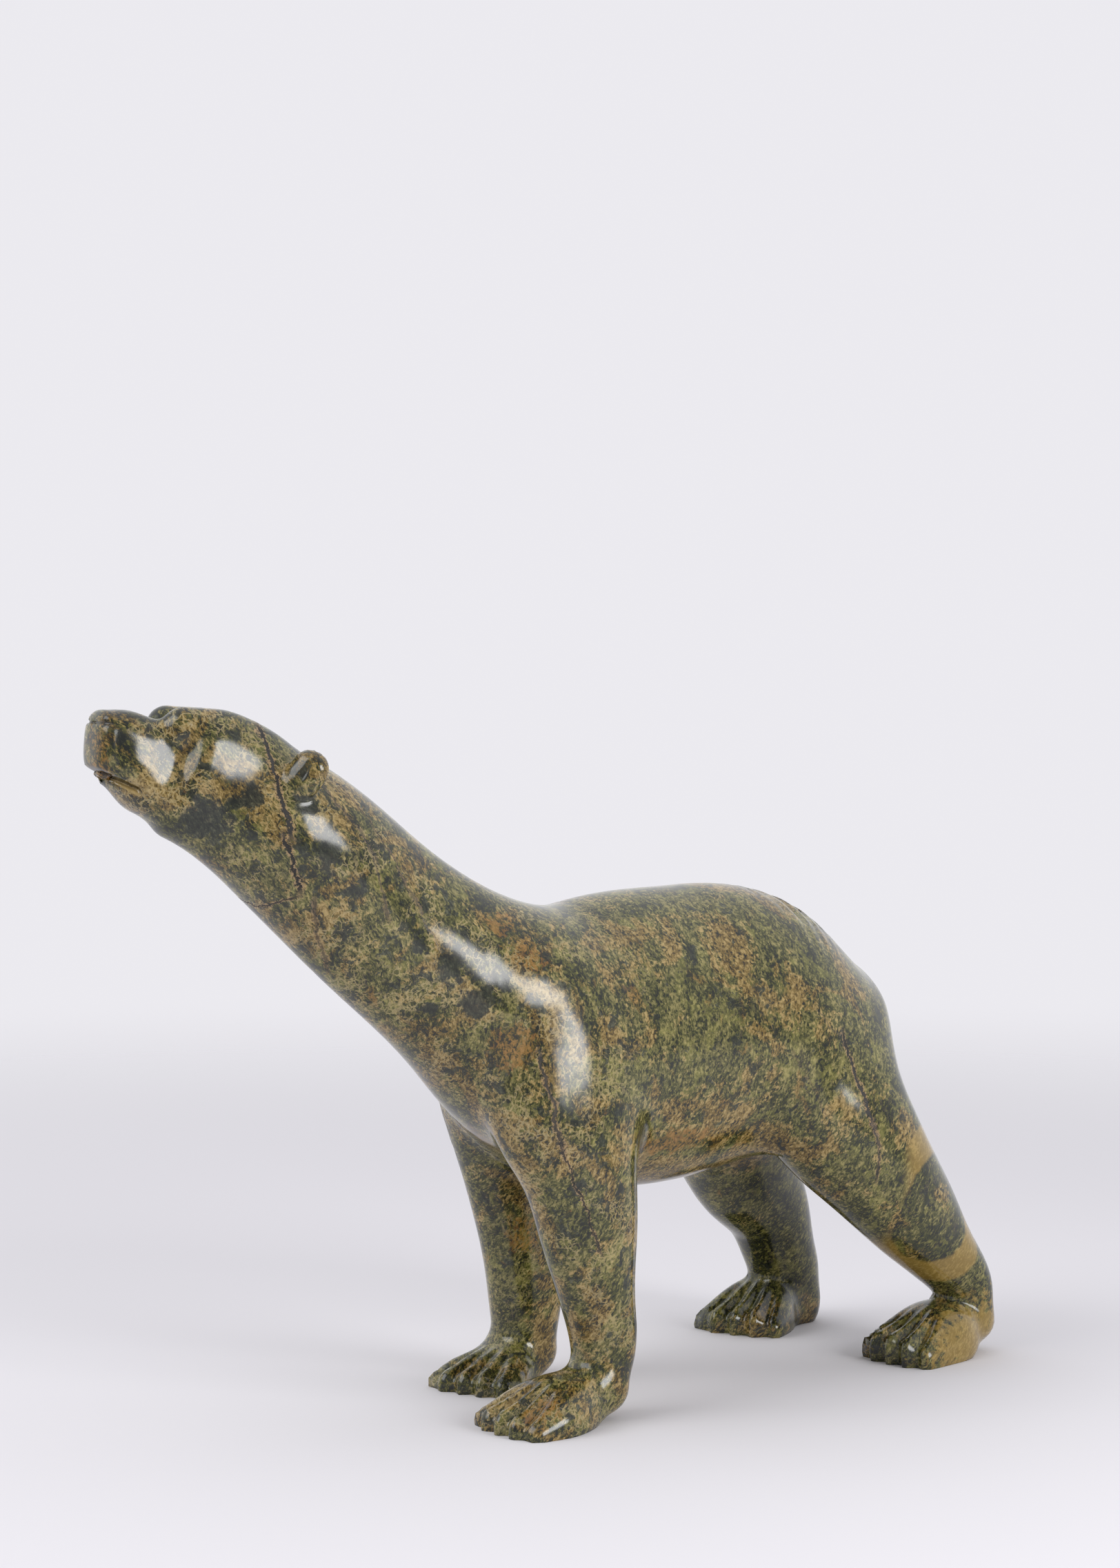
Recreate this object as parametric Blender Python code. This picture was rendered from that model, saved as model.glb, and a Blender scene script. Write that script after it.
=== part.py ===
"""A walking polar bear with its head raised, carved from one block of polished serpentine.

Frame: metres, +Z up. The bear looks towards -X and its left side is towards -Y. It stands
on the ground, z = 0, and the origin is there, at the middle of its length and width.

The bear is one rounded form: a spine, four legs, four paws, two brows, two ears and a tail,
each a bar along a smooth curve, blended into each other, with toes, mouth, nostrils, eye
hollows and ear hollows cut into them. A coarse skin is laid round the bars and every point
of it is then moved onto the form.
"""

import math

import bmesh
import bpy
import numpy as np
from mathutils import Matrix

HEIGHT = 0.283
UNIT = HEIGHT / 283.0
SKIN_CELL = 2.2
SKIN_ROUNDS = 5
FACES = 9600
GROUND_CLEARANCE = 0.02

# Every place and half-size below is in UNITs, so the bear stands 283 of them high and all
# of it follows HEIGHT. x = 0 is the tip of the left fore paw and y = 0 the middle of the
# chest. A station is (x, y, z, half depth, half width) of a bar at that place.
SPINE = [
    (198, 0, 130, 44, 39),
    (166, 0, 144, 54, 47),
    (126, 0, 144, 60, 46),
    (86, 0, 144, 59.5, 45),
    (48, 0, 152, 51.5, 42),
    (16, 0, 168.5, 40, 35),
    (-34, 2, 202, 32.5, 27.5),
    (-75, 10, 238, 30, 24.5),
    (-102, 17, 254.5, 26.5, 20.5),
]
SPINE_ENDS = (30, 15)

MUZZLE = [
    (-108, 18, 255, 20.5, 15),
    (-122, 21.5, 260, 17.6, 13.5),
    (-131, 24.5, 265.8, 15, 12.8),
    (-136, 26, 268, 13.6, 12.3),
    (-140, 27, 268.4, 12.9, 12),
]
MUZZLE_ENDS = (8, 5.5)
MUZZLE_SQUARENESS = 2.8

# The head turns to the bear's right about HEAD. Its brows, ears and carving are given ahead
# of there, out from its middle and above it; each is made on both sides.
HEAD = (-75, 10, 238)
HEAD_TURN = math.radians(16.5)
BROW = [(9.5, 7, 27.5, 9, 9), (25.5, 9, 35, 9, 8.5), (36, 11, 36, 8, 8)]
BROW_ENDS = (10, 7)
EAR = [(3, 18, 9, 7, 4.5), (-3, 20.5, 16, 7, 4.5), (-6.5, 21.5, 20.5, 6, 4)]
EAR_ENDS = (6, 5)
EAR_FACES = (0.43, 0.9)
EAR_HOLLOW = [(3, 22, 9.5, 2, 3), (-2, 25.5, 16, 2.4, 3.5), (-4, 26.5, 20, 1.8, 3)]
EAR_HOLLOW_ENDS = (4, 3)
EYE_HOLLOW = [(38, 20, 40, 4.5, 4.5), (41, 20.5, 32, 6, 5), (44, 19, 22, 6, 4)]
EYE_HOLLOW_ENDS = (4, 9)

MOUTH_BACK = 57
MOUTH_FRONT = 71
MOUTH_HEIGHTS = (11, 18)
MOUTH_DEPTH = 1.6
MOUTH_WIDTHS = (0.7, 1.5)
NOSTRIL_BACK = 62
NOSTRIL_HEIGHT = 38.3
NOSTRIL_DEPTH = 1.0
NOSTRIL_WIDTH = 0.7

LEGS = {
    "left_fore": [
        (30, -22, 165, 27, 16),
        (36, -26, 140, 30, 19),
        (38, -30, 119, 32, 20),
        (41.5, -33, 100, 26, 19),
        (45.5, -35, 73, 21, 16.5),
        (50.5, -35, 45, 15, 14),
        (52.5, -35, 24, 12.5, 12.5),
        (50, -35, 16, 11.5, 12),
    ],
    "right_fore": [
        (50, 26, 165, 26, 16),
        (58, 31, 140, 30, 19),
        (64, 34, 119, 31, 19),
        (69, 36, 102, 28.5, 18.5),
        (74.5, 38, 73, 22.5, 17),
        (77, 39, 45, 17, 15),
        (78, 40, 24, 14, 14),
        (78, 41, 14, 12.5, 13),
    ],
    "left_hind": [
        (178, -24, 142, 36, 20),
        (184, -33, 112, 34, 23),
        (195, -38, 95, 30, 22),
        (207, -41, 80, 25.5, 20.5),
        (226, -42, 60, 20.8, 17),
        (243.7, -42, 42, 15.2, 14.5),
        (255.5, -43, 25, 11, 13.5),
        (255.5, -43, 15, 9.5, 12.5),
    ],
    "right_hind": [
        (170, 26, 142, 34, 20),
        (185, 36, 112, 36, 24),
        (200, 42, 92, 32, 24),
        (212, 46, 72, 26, 21),
        (229.5, 50, 52, 19.5, 18),
        (239.5, 52, 32, 16.5, 15.5),
        (245, 53, 18, 14.5, 14),
        (245, 53, 12, 13.5, 13),
    ],
}
LEG_ENDS = (20, 11)

PAWS = {
    "left_fore": [
        (47, -35, 12, 11, 12),
        (35, -34, 8, 13.5, 16.5),
        (20, -33, 5, 12, 21.5),
        (9, -32, 3, 9, 20.5),
    ],
    "right_fore": [
        (78, 42, 12, 12, 13),
        (64, 39, 6, 10.5, 15.5),
        (52, 36, 3, 9, 20.5),
        (45, 34, 2, 8, 21),
    ],
    "left_hind": [
        (255.5, -43, 13, 9.5, 12),
        (246, -43, 10, 14, 16),
        (229, -43, 7, 14, 19),
        (216, -43, 5, 11, 19.5),
    ],
    "right_hind": [
        (247, 53, 8, 12.5, 13.5),
        (232, 53, 8.5, 14, 17),
        (219, 50, 6, 12.5, 20.5),
        (210, 47, 4.5, 10, 21.5),
    ],
}
PAW_ENDS = (11, 9)
PAW_SQUARENESS = 2.5

# Each paw's toes fan out from the first place, on the ground under the ankle, towards the
# second, the tip of the middle toe. The last number is how deep the grooves are.
TOES = {
    "left_fore": ((52, -35), (0, -31), 2.6),
    "right_fore": ((88, 43), (36, 33), 2.6),
    "left_hind": ((258, -43), (206, -43), 3.2),
    "right_hind": ((254, 58), (202, 44), 3.2),
}
TOE_FAN = math.radians(10.5)
TOE_START = 0.42
TOE_FULL = 0.85

TAIL = [(222, 0, 143, 7, 8), (234, 0, 131, 6, 7), (241, 0, 119, 4.5, 5.5)]
TAIL_ENDS = (6, 4)

LEG_BLEND = 26
PAW_BLEND = 8
MUZZLE_BLEND = 8
BROW_BLEND = 6
EAR_BLEND = 7
TAIL_BLEND = 12
EAR_CUT_BLEND = 1.5
EYE_CUT_BLEND = 5
SAMPLES = 72
NEAREST_STEPS = 3
REACH = 40
FAR_OFF = 160.0
BALL_EVERY = 6
LEAST_SLOPE = 0.2


def unit(vectors):
    return vectors / np.linalg.norm(vectors, axis=-1, keepdims=True)


def dot(first, second):
    return (first * second).sum(-1)


def smooth_curve(knots, values, level_ends):
    """The cubic through values at knots as coefficients of each stretch, with level or free ends."""
    gaps = np.diff(knots)[:, None]
    rise = np.diff(values, axis=0) / gaps
    count = len(knots)
    system = np.eye(count)
    right = np.zeros_like(values)
    for i in range(1, count - 1):
        system[i, i - 1 : i + 2] = gaps[i - 1, 0], 2 * (gaps[i - 1, 0] + gaps[i, 0]), gaps[i, 0]
        right[i] = 6 * (rise[i] - rise[i - 1])
    if level_ends:
        system[0, :2] = 2 * gaps[0, 0], gaps[0, 0]
        right[0] = 6 * rise[0]
        system[-1, -2:] = gaps[-1, 0], 2 * gaps[-1, 0]
        right[-1] = -6 * rise[-1]
    bend = np.linalg.solve(system, right)
    slope = rise - gaps * (2 * bend[:-1] + bend[1:]) / 6
    return np.stack([values[:-1], slope, bend[:-1] / 2, np.diff(bend, axis=0) / (6 * gaps)])


class Bar:
    """A rounded bar along a smooth curve through its stations, closed by a rounded end at each end."""

    def __init__(self, stations, ends, squareness=2.0, side=(0.0, 1.0, 0.0)):
        rows = np.array(stations, float)
        steps = np.linalg.norm(np.diff(rows[:, :3], axis=0), axis=1)
        self.knots = np.concatenate([[0.0], np.cumsum(steps)])
        path = smooth_curve(self.knots, rows[:, :3], False)
        sizes = smooth_curve(self.knots, rows[:, 3:], True)
        self.curve = np.concatenate([path, sizes], axis=2)
        self.ends = ends
        self.squareness = squareness
        self.side = np.array(side)
        self.marks = np.linspace(0.0, self.knots[-1], SAMPLES)
        self.trail = self.at(self.marks)[0]
        spread = self.trail[:, 3:].max() + max(ends) + REACH
        self.low = self.trail[:, :3].min(0) - spread
        self.high = self.trail[:, :3].max(0) + spread

    def at(self, marks):
        """Values and slopes of the station numbers at distances along the bar."""
        stretch = np.clip(np.searchsorted(self.knots, marks) - 1, 0, len(self.knots) - 2)
        past = (marks - self.knots[stretch])[:, None]
        c0, c1, c2, c3 = self.curve[:, stretch]
        return ((c3 * past + c2) * past + c1) * past + c0, (3 * c3 * past + 2 * c2) * past + c1

    def near(self, points):
        """Where on the curve each point is nearest: (values, slopes) there."""
        trail = self.trail[:, :3]
        score = 2 * points @ trail.T - dot(trail, trail)
        marks = self.marks[score.argmax(1)]
        for _ in range(NEAREST_STEPS):
            value, slope = self.at(marks)
            along = slope[:, :3]
            marks = marks + dot(points - value[:, :3], along) / dot(along, along)
            marks = np.clip(marks, 0.0, self.knots[-1])
        return self.at(marks)

    def depth(self, points):
        """How far each point is outside the bar, less than zero inside it."""
        result = np.full(len(points), FAR_OFF)
        close = ((points > self.low) & (points < self.high)).all(1)
        points = points[close]
        if not len(points):
            return result
        value, slope = self.near(points)
        tangent = unit(slope[:, :3])
        side = unit(self.side - dot(tangent, self.side)[:, None] * tangent)
        away = points - value[:, :3]
        ahead = dot(away, tangent)
        end = np.where(ahead < 0, self.ends[0], self.ends[1])
        shares = np.stack([
            dot(away, np.cross(tangent, side)) / value[:, 3],
            dot(away, side) / value[:, 4],
            ahead / end,
        ])
        ratio = (np.abs(shares) ** self.squareness).sum(0) ** (1 / self.squareness)
        length = np.linalg.norm(away, axis=1)
        result[close] = length - length / np.maximum(ratio, 1e-6)
        return result


def merge(first, second, blend):
    """Union of two depths with a rounded inner corner about blend wide."""
    overlap = np.maximum(blend - np.abs(first - second), 0.0) / blend
    return np.minimum(first, second) - overlap**3 * blend / 6


def cut(depth, cutter, blend):
    """The depth with a cutter taken out of it, its edges rounded."""
    return -merge(-depth, cutter, blend)


def head_axes():
    """Unit vectors ahead of the head, out to its right and up."""
    turn = (math.cos(HEAD_TURN), math.sin(HEAD_TURN))
    return np.array([(-turn[0], turn[1], 0.0), (turn[1], turn[0], 0.0), (0.0, 0.0, 1.0)])


def head_pair(stations, ends, faces=(0.0, 1.0)):
    """The left and the right bar of one feature of the head."""
    axes = head_axes()
    bars = []
    for side in (-1, 1):
        rows = []
        for ahead, out, above, depth, width in stations:
            place = HEAD + np.array((ahead, side * out, above)) @ axes
            rows.append((*place, depth, width))
        facing = np.array((faces[0], side * faces[1], 0.0)) @ axes
        bars.append(Bar(rows, ends, side=facing))
    return bars


def ramp(values, start, full):
    """0 up to start, 1 from full on, and smooth between."""
    share = np.clip((values - start) / (full - start), 0.0, 1.0)
    return share * share * (3 - 2 * share)


def face_grooves(points):
    """How deep the mouth and the nostril slits are at each point."""
    ahead, out, above = ((points - HEAD) @ head_axes().T).T
    slope = (MOUTH_HEIGHTS[1] - MOUTH_HEIGHTS[0]) / (MOUTH_FRONT - MOUTH_BACK)
    over = above - MOUTH_HEIGHTS[0] - slope * (ahead - MOUTH_BACK)
    width = np.where(over > 0, *MOUTH_WIDTHS)
    mouth = MOUTH_DEPTH * np.exp(-((over / width) ** 2)) * ramp(ahead, MOUTH_BACK - 1, MOUTH_BACK + 1)
    over = (above - NOSTRIL_HEIGHT) / NOSTRIL_WIDTH
    nostril = NOSTRIL_DEPTH * np.exp(-(over**2)) * ramp(ahead, NOSTRIL_BACK, NOSTRIL_BACK + 3)
    return mouth + nostril * ramp(np.abs(out), 1.0, 3.0)


def toe_grooves(points, paw):
    """How deep the grooves between the five toes of a paw are at each point."""
    (heel_x, heel_y), (tip_x, tip_y), depth = TOES[paw]
    axis = np.array((tip_x - heel_x, tip_y - heel_y), float)
    length = math.hypot(*axis)
    axis /= length
    away = points[:, :2] - (heel_x, heel_y)
    ahead = away @ axis
    across = away @ np.array((-axis[1], axis[0]))
    toe = np.clip(np.arctan2(across, np.maximum(ahead, 1.0)) / TOE_FAN, -2.0, 2.0)
    groove = 0.5 - 0.5 * np.cos(2 * math.pi * toe)
    return depth * groove * ramp(ahead / length, TOE_START, TOE_FULL)


BODY = Bar(SPINE, SPINE_ENDS)
LEG_BARS = {name: Bar(rows, LEG_ENDS) for name, rows in LEGS.items()}
PAW_BARS = {name: Bar(rows, PAW_ENDS, PAW_SQUARENESS) for name, rows in PAWS.items()}
MUZZLE_BAR = Bar(MUZZLE, MUZZLE_ENDS, MUZZLE_SQUARENESS)
BROW_BARS = head_pair(BROW, BROW_ENDS)
EAR_BARS = head_pair(EAR, EAR_ENDS, EAR_FACES)
EAR_CUTTERS = head_pair(EAR_HOLLOW, EAR_HOLLOW_ENDS, EAR_FACES)
EYE_CUTTERS = head_pair(EYE_HOLLOW, EYE_HOLLOW_ENDS)
TAIL_BAR = Bar(TAIL, TAIL_ENDS)
ALL_BARS = [BODY, MUZZLE_BAR, *BROW_BARS, *EAR_BARS, TAIL_BAR, *LEG_BARS.values(), *PAW_BARS.values()]


def form(points):
    """Depth of the whole bear at each point."""
    depth = merge(BODY.depth(points), MUZZLE_BAR.depth(points), MUZZLE_BLEND)
    for brow in BROW_BARS:
        depth = merge(depth, brow.depth(points), BROW_BLEND)
    for ear in EAR_BARS:
        depth = merge(depth, ear.depth(points), EAR_BLEND)
    for hollow in EAR_CUTTERS:
        depth = cut(depth, hollow.depth(points), EAR_CUT_BLEND)
    for hollow in EYE_CUTTERS:
        depth = cut(depth, hollow.depth(points), EYE_CUT_BLEND)
    depth = depth + face_grooves(points)
    depth = merge(depth, TAIL_BAR.depth(points), TAIL_BLEND)
    for name, leg in LEG_BARS.items():
        paw = PAW_BARS[name].depth(points) + toe_grooves(points, name)
        limb = merge(leg.depth(points), paw, PAW_BLEND)
        depth = merge(depth, limb, LEG_BLEND)
    return depth


def slope_of(points, step=0.05):
    """Direction in which the depth grows, from four readings round each point."""
    corners = np.array([(1, -1, -1), (-1, -1, 1), (-1, 1, -1), (1, 1, 1)], float)
    return sum(corner * form(points + step * corner)[:, None] for corner in corners) / (4 * step)


def settle(points):
    """Points moved straight onto the form."""
    slope = slope_of(points)
    return points - (form(points) / np.maximum(dot(slope, slope), LEAST_SLOPE))[:, None] * slope


def rough_skin(cell):
    """A coarse skin round the bars: balls along every bar, joined by a voxel remesh."""
    mesh = bmesh.new()
    for bar in ALL_BARS:
        for x, y, z, depth, width in bar.trail[::BALL_EVERY]:
            ball = bmesh.ops.create_icosphere(mesh, subdivisions=3, radius=1.0)
            size = min(depth, width)
            place = Matrix.Translation((x, y, z)) @ Matrix.Diagonal((size, width, size, 1.0))
            bmesh.ops.transform(mesh, matrix=place, verts=ball["verts"])
    skin = bpy.data.objects.new("polar_bear", bpy.data.meshes.new("polar_bear"))
    mesh.to_mesh(skin.data)
    mesh.free()
    bpy.context.scene.collection.objects.link(skin)
    remesh = skin.modifiers.new("skin", "REMESH")
    remesh.mode = "VOXEL"
    remesh.voxel_size = cell
    return skin


def apply_modifiers(piece):
    """Leaves the piece with the mesh that its modifiers make."""
    bpy.context.view_layer.update()
    shaped = piece.evaluated_get(bpy.context.evaluated_depsgraph_get())
    mesh = bpy.data.meshes.new_from_object(shaped)
    piece.modifiers.clear()
    piece.data = mesh


def points_of(mesh):
    points = np.empty(len(mesh.vertices) * 3)
    mesh.vertices.foreach_get("co", points)
    return points.reshape(-1, 3)


def carve(piece):
    """Moves every point of the skin onto the form, evening the points out between moves."""
    for round_left in reversed(range(SKIN_ROUNDS)):
        if round_left:
            mesh = bmesh.new()
            mesh.from_mesh(piece.data)
            bmesh.ops.smooth_vert(mesh, verts=mesh.verts, factor=0.5,
                                  use_axis_x=True, use_axis_y=True, use_axis_z=True)
            mesh.to_mesh(piece.data)
            mesh.free()
        points = settle(settle(points_of(piece.data)))
        piece.data.vertices.foreach_set("co", points.ravel())


def stand(piece):
    """Cuts the paws flat at the ground, closes the soles and scales the bear to metres."""
    mesh = bmesh.new()
    mesh.from_mesh(piece.data)
    everything = mesh.verts[:] + mesh.edges[:] + mesh.faces[:]
    bmesh.ops.bisect_plane(mesh, geom=everything, dist=GROUND_CLEARANCE,
                           plane_co=(0, 0, 0), plane_no=(0, 0, -1), clear_outer=True)
    for vert in mesh.verts:
        if vert.co.z < GROUND_CLEARANCE:
            vert.co.z = 0.0
    rims = [edge for edge in mesh.edges if edge.is_boundary]
    bmesh.ops.edgeloop_fill(mesh, edges=rims)
    bmesh.ops.recalc_face_normals(mesh, faces=mesh.faces)
    low = [min(vert.co[axis] for vert in mesh.verts) for axis in range(3)]
    high = [max(vert.co[axis] for vert in mesh.verts) for axis in range(3)]
    middle = (-(low[0] + high[0]) / 2, -(low[1] + high[1]) / 2, 0)
    place = Matrix.Scale(UNIT, 4) @ Matrix.Translation(middle)
    bmesh.ops.transform(mesh, matrix=place, verts=mesh.verts)
    mesh.to_mesh(piece.data)
    mesh.free()


def stone():
    """Polished moss-green serpentine."""
    material = bpy.data.materials.new("serpentine")
    material.use_nodes = True
    shader = material.node_tree.nodes["Principled BSDF"]
    shader.inputs["Base Color"].default_value = (0.16, 0.15, 0.06, 1)
    shader.inputs["Roughness"].default_value = 0.18
    shader.inputs["Metallic"].default_value = 0.0
    return material


def clear_scene():
    for old in list(bpy.data.objects):
        bpy.data.objects.remove(old)


def thin(piece):
    """Brings the skin down to the number of faces that the form needs."""
    decimate = piece.modifiers.new("thin", "DECIMATE")
    decimate.use_collapse_triangulate = True
    piece.data.calc_loop_triangles()
    decimate.ratio = FACES / len(piece.data.loop_triangles)
    apply_modifiers(piece)


def main():
    clear_scene()
    bear = rough_skin(SKIN_CELL)
    apply_modifiers(bear)
    carve(bear)
    thin(bear)
    stand(bear)
    bear.data.shade_smooth()
    bear.data.materials.append(stone())


if __name__ == "__main__":
    main()
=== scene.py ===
"""A walking polar bear carved from polished serpentine, on a pale studio floor.

The bear is a fine skin on the same rounded form as its solid: bars along smooth curves,
blended into each other, with the carving cut in more finely.
"""

import math

import bmesh
import bpy
import numpy as np
from mathutils import Matrix, Vector


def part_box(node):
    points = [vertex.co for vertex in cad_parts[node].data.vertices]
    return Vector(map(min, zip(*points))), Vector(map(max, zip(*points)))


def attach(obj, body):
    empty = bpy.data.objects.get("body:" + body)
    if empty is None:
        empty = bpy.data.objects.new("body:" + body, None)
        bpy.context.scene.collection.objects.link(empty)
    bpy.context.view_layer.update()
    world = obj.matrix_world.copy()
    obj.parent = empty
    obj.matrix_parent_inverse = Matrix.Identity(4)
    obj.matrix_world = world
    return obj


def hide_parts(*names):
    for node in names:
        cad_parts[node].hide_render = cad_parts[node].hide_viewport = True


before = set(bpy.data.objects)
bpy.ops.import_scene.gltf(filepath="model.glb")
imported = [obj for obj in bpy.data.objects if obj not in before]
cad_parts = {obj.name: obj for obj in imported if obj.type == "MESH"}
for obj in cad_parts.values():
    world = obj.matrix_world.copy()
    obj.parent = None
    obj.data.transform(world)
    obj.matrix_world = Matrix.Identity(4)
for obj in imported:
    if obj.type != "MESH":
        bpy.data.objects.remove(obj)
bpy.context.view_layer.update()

# The bear's tables are in millimetres. x = 0 is the tip of the left fore paw and y = 0 the
# middle of the chest. A station is (x, y, z, half depth, half width) of a bar at that place.
MILLIMETRE = 0.001
SKIN_CELL = 4.2
COARSE_ROUNDS = 3
GROUND_CLEARANCE = 0.02

SPINE = [
    (198, 0, 130, 44, 39),
    (166, 0, 144, 54, 47),
    (126, 0, 144, 60, 46),
    (86, 0, 144, 59.5, 45),
    (48, 0, 152, 51.5, 42),
    (16, 0, 168.5, 40, 35),
    (-34, 1, 202, 33.3, 23.8),
    (-75.8, 9, 237, 29, 27.4),
    (-106, 18.5, 256, 25.5, 19),
]
SPINE_ENDS = (30, 10)

MUZZLE = [
    (-108, 18, 255, 19.5, 11.5),
    (-122, 21.5, 259.6, 16.6, 12.6),
    (-131, 24.5, 265.2, 14.6, 13.3),
    (-136, 26, 267.8, 13.4, 12.7),
    (-140, 27, 268.4, 12.6, 12),
]
MUZZLE_ENDS = (8, 5)
MUZZLE_SQUARENESS = 2.8

# The head turns to the bear's right about HEAD. Its jowls, cheeks, brows and ears are given
# ahead of there, out from its middle and above it; each is made on both sides.
HEAD = (-75, 10, 238)
HEAD_TURN = math.radians(16.5)
JOWL = [(22, 6, 10, 12, 11.5), (40, 6, 9.5, 10.5, 10.5), (52, 4.5, 13.2, 7.3, 9)]
JOWL_ENDS = (12, 8)
CHEEK = [(10, 8, 17, 12, 10.8), (32, 9.8, 24.5, 13.5, 11.2)]
CHEEK_ENDS = (22, 6.5)
CHEEK_SQUARENESS = 2.8
BROW = [(9.5, 7, 25.5, 10.5, 9), (25.5, 9, 33.6, 9, 8.5), (38.5, 9.5, 36.3, 7.5, 7)]
BROW_ENDS = (20, 7.5)
EAR = [(2.5, 20, 12.5, 6, 4.8), (-2.5, 23.5, 16.5, 7.4, 5.6), (-6, 25, 21.5, 7.2, 5.2)]
EAR_ENDS = (6, 6)
EAR_FACES = (0.75, 0.66)
EAR_HOLLOW = [(2.5, 29, 14.5, 1.2, 1.8), (0.5, 30.5, 18.5, 1.9, 2.6), (-2, 31, 22.5, 1.5, 2.2)]
EAR_HOLLOW_ENDS = (3, 3)

MOUTH_BACK = 57
MOUTH_FRONT = 71
# Where the painted highlight on the lower lip ends in front.
LIP_HIGHLIGHT_FRONT = 67
MOUTH_HEIGHTS = (13.8, 21)
MOUTH_DEPTH = 2.0
MOUTH_WIDTHS = (0.7, 1.4)
NOSTRIL_BACK = 65
NOSTRIL_HEIGHT = 38.3
NOSTRIL_DEPTH = 1.5
NOSTRIL_WIDTH = 0.6
FURROW_DEPTH = 1.0
FURROW_WIDTH = 1.3
FURROW_SPAN = (10, 38)
FURROW_HEIGHTS = (24, 34)
FURROW_FADE = (-52, -42)

LEGS = {
    "left_fore": [
        (30, -22, 165, 27, 16),
        (36, -26, 140, 30, 19),
        (38, -30, 119, 32, 20),
        (41.5, -33, 100, 26, 19),
        (45.5, -35, 73, 21, 16.5),
        (50.5, -35, 45, 15, 14),
        (52.5, -35, 24, 12.5, 12.5),
        (50, -35, 16, 11.5, 12),
    ],
    "right_fore": [
        (50, 26, 165, 26, 16),
        (58, 31, 140, 30, 19),
        (64, 34, 119, 31, 19),
        (69, 36, 102, 28.5, 18.5),
        (74.5, 38, 73, 22.5, 17),
        (77, 39, 45, 17, 15),
        (78, 40, 24, 14, 14),
        (78, 41, 14, 12.5, 13),
    ],
    "left_hind": [
        (178, -24, 142, 36, 20),
        (184, -33, 112, 34, 23),
        (195, -38, 95, 30, 22),
        (207, -41, 80, 25.5, 20.5),
        (226, -42, 60, 20.8, 17),
        (243.7, -42, 42, 15.2, 14.5),
        (255.5, -43, 25, 11, 13.5),
        (255.5, -43, 15, 9.5, 12.5),
    ],
    "right_hind": [
        (170, 26, 142, 34, 20),
        (185, 36, 112, 36, 24),
        (200, 42, 92, 32, 24),
        (212, 46, 72, 26, 21),
        (229.5, 50, 52, 19.5, 18),
        (239.5, 52, 32, 16.5, 15.5),
        (245, 53, 18, 14.5, 14),
        (245, 53, 12, 13.5, 13),
    ],
}
LEG_ENDS = (20, 11)

PAWS = {
    "left_fore": [
        (48, -35, 12, 10.5, 12),
        (35, -34, 7.5, 12.5, 16.5),
        (20, -33, 4, 11.3, 21.5),
        (8, -32, 1, 9, 21),
    ],
    "right_fore": [
        (78, 42, 12, 12, 13),
        (64, 39, 6, 10.5, 15.5),
        (52, 36, 3, 10, 20.5),
        (44, 34, 1.5, 8.8, 21),
    ],
    "left_hind": [
        (255.5, -43, 13, 9.5, 12),
        (246, -43, 10, 13.3, 16),
        (229, -43, 6, 13.5, 19),
        (215, -43, 3, 11, 19.5),
    ],
    "right_hind": [
        (247, 53, 8, 12.5, 13.5),
        (232, 53, 7.5, 13.7, 17),
        (219, 50, 4.5, 12.3, 20.5),
        (209, 47, 2.5, 10.2, 21.5),
    ],
}
PAW_ENDS = (11, 8)
PAW_SQUARENESS = 2.5

# Each paw's toes fan out from the first place, on the ground under the ankle, towards the
# second, the tip of the middle toe. Then come how deep the grooves between them are and how
# sharp; under 1 they are flutes that are wider than the toes.
TOES = {
    "left_fore": ((52, -35), (0, -31), 3.8, 1.2),
    "right_fore": ((88, 43), (36, 33), 3.8, 1.0),
    "left_hind": ((258, -43), (206, -43), 4.2, 0.9),
    "right_hind": ((254, 58), (202, 44), 4.4, 0.8),
}
TOE_FAN = math.radians(10.5)
TOE_START = 0.45
TOE_FULL = 0.9

TAIL = [(222, 0, 143, 7, 8), (234, 0, 131, 6, 7), (241, 0, 119, 4.5, 5.5)]
TAIL_ENDS = (6, 4)

LEG_BLEND = 26
PAW_BLEND = 8
CHEEK_BLEND = 9
MUZZLE_BLEND = 8
BROW_BLEND = 9
EAR_BLEND = 4
TAIL_BLEND = 12
EAR_CUT_BLEND = 1.2
SAMPLES = 72
NEAREST_STEPS = 3
REACH = 40
FAR_OFF = 160.0
BALL_EVERY = 6
LEAST_SLOPE = 0.2

# Where the skin is made finer: how far ahead in the head the brows and the face start, how near
# the skin is to a paw, an ear or its hollow, and how deep a groove is there.
BROWS_START = 20
FACE_START = 30
PAW_REACH = 6
EAR_REACH = 4
HOLLOW_REACH = 3
SHALLOW = 0.02
STEEP = 0.5


def unit(vectors):
    return vectors / np.linalg.norm(vectors, axis=-1, keepdims=True)


def dot(first, second):
    return (first * second).sum(-1)


def smooth_curve(knots, values, level_ends):
    """The cubic through values at knots as coefficients of each stretch, with level or free ends."""
    gaps = np.diff(knots)[:, None]
    rise = np.diff(values, axis=0) / gaps
    count = len(knots)
    system = np.eye(count)
    right = np.zeros_like(values)
    for i in range(1, count - 1):
        system[i, i - 1 : i + 2] = gaps[i - 1, 0], 2 * (gaps[i - 1, 0] + gaps[i, 0]), gaps[i, 0]
        right[i] = 6 * (rise[i] - rise[i - 1])
    if level_ends:
        system[0, :2] = 2 * gaps[0, 0], gaps[0, 0]
        right[0] = 6 * rise[0]
        system[-1, -2:] = gaps[-1, 0], 2 * gaps[-1, 0]
        right[-1] = -6 * rise[-1]
    bend = np.linalg.solve(system, right)
    slope = rise - gaps * (2 * bend[:-1] + bend[1:]) / 6
    return np.stack([values[:-1], slope, bend[:-1] / 2, np.diff(bend, axis=0) / (6 * gaps)])


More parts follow.
